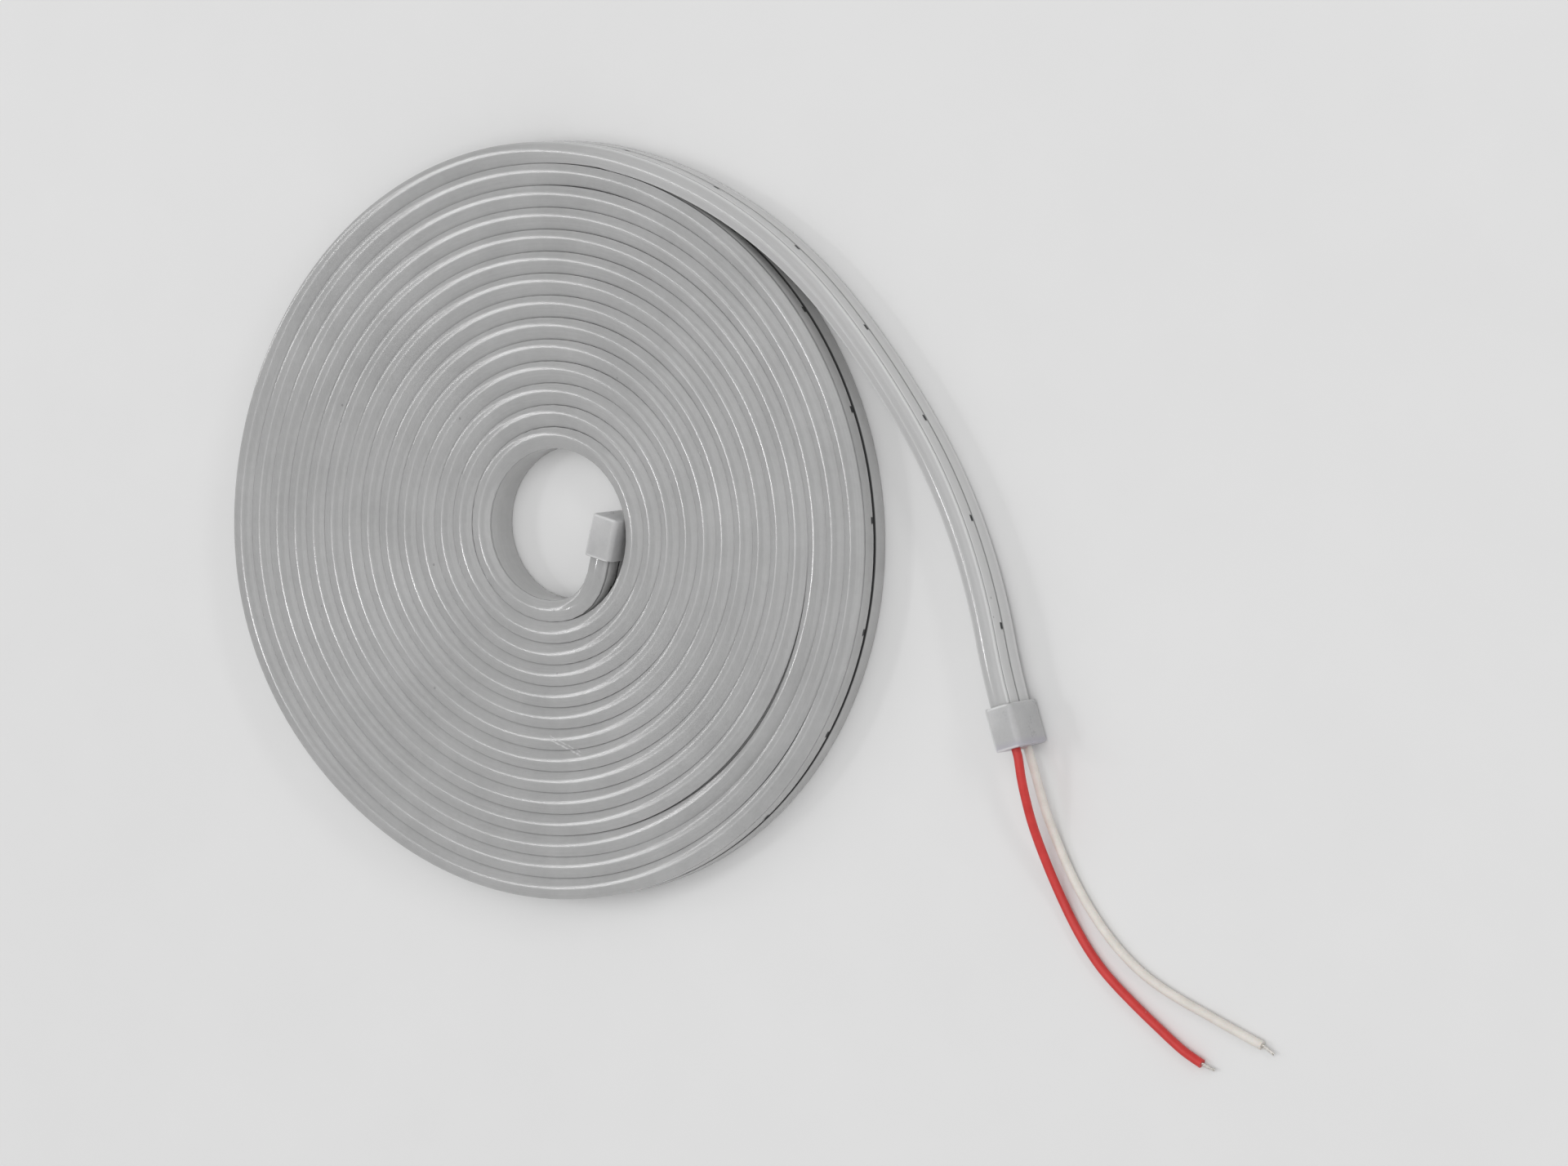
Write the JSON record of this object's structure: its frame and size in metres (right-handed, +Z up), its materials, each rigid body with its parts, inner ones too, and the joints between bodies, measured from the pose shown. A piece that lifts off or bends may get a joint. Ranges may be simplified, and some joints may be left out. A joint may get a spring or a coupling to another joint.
{
  "type": "led neon flex reel",
  "caption": "Milky silicone light strip wound flat as a roll, with moulded end caps and a red and a white lead.",
  "frame": {"origin": "on the resting plane, under the middle of the strip and its caps, leads left out", "axes": "+Z up through the roll's eye towards the light face, +X towards the side that the tail leaves on, +Y towards the back of the roll"},
  "size_m": [0.2769, 0.2052, 0.0124],
  "materials": {
    "milky_silicone": "satin, milky",
    "cap_silicone": "matt, translucent",
    "red_insulation": "satin",
    "white_insulation": "satin",
    "tinned_copper": "tinned strands"
  },
  "bodies": {
    "root": {"neon_flex": "milky_silicone", "inner_end_cap": "cap_silicone", "outer_end_cap": "cap_silicone", "red_lead": "red_insulation", "red_lead_tip": "tinned_copper", "white_lead": "white_insulation", "white_lead_tip": "tinned_copper"}
  },
  "joints": []
}
